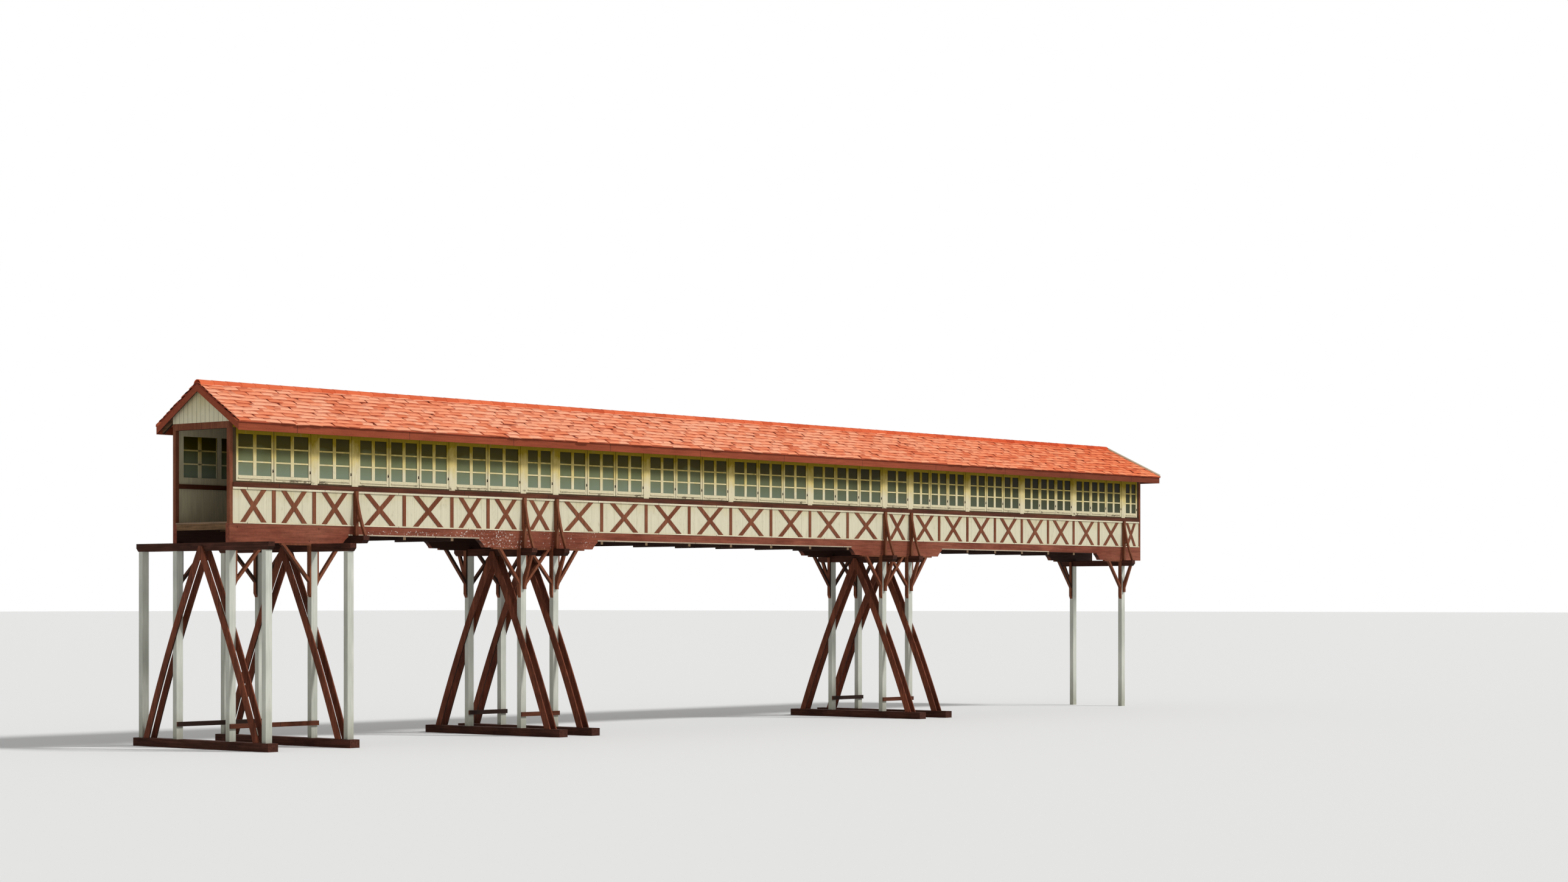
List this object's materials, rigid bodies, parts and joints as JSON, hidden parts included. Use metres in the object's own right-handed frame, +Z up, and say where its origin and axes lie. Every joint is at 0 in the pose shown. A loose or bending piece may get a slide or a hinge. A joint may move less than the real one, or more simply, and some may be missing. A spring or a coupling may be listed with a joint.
{
  "type": "covered timber walkway",
  "caption": "Long covered timber walkway with cross-braced boarded panels, casement windows and a tiled roof, raised on pairs of raked posts.",
  "frame": {"origin": "on the ground, in the middle of the walkway's length and width", "axes": "+X along the walkway towards its hipped end, +Y across it towards the far side, +Z up"},
  "size_m": [39.855, 4.99, 8.7647],
  "materials": {
    "post_white_paint": "matt paint",
    "red_brown_paint": "weathered satin paint",
    "maroon_paint": "satin paint",
    "dark_timber": "weathered stain",
    "bare_timber": "sawn",
    "cream_paint": "matt paint with mossy staining",
    "white_trim_paint": "matt paint",
    "floor_boards": "worn boards",
    "window_glass": "old clear glass",
    "roof_tiles": "unglazed clay tile",
    "ridge_tiles": "unglazed clay tile",
    "hip_mortar": "lime mortar"
  },
  "bodies": {
    "root": {"posts_near": "post_white_paint", "posts_far": "post_white_paint", "outer_posts": "post_white_paint", "bolsters_near": "red_brown_paint", "bolsters_far": "red_brown_paint", "side_beam_near": "red_brown_paint", "side_beam_far": "red_brown_paint", "knee_brackets_near": "red_brown_paint", "knee_brackets_far": "red_brown_paint", "outward_brackets": "red_brown_paint", "outriggers_near": "red_brown_paint", "outriggers_far": "red_brown_paint", "cross_framing_near": "red_brown_paint", "cross_framing_far": "red_brown_paint", "fascias": "red_brown_paint", "left_bargeboards": "red_brown_paint", "end_frame_left": "red_brown_paint", "end_frame_right": "red_brown_paint", "rakers_near": "maroon_paint", "rakers_far": "maroon_paint", "sills": "dark_timber", "needle_beams": "dark_timber", "floor_bearers": "dark_timber", "trestle_ties": "dark_timber", "waist_rail_near": "dark_timber", "waist_rail_far": "dark_timber", "floor_joists": "bare_timber", "wall_plates": "bare_timber", "roof_trusses": "bare_timber", "panel_wall_near": "cream_paint", "panel_wall_far": "cream_paint", "window_wall_near": "cream_paint", "window_wall_far": "cream_paint", "mullions_near": "cream_paint", "mullions_far": "cream_paint", "left_gable": "cream_paint", "mouldings": "white_trim_paint", "drip_strips": "white_trim_paint", "floor_deck": "floor_boards", "glass_near": "window_glass", "glass_far": "window_glass", "roof_slope_near": "roof_tiles", "roof_slope_far": "roof_tiles", "roof_hip_end": "roof_tiles", "ridge_cap": "ridge_tiles", "hip_caps": "hip_mortar"}
  },
  "joints": []
}
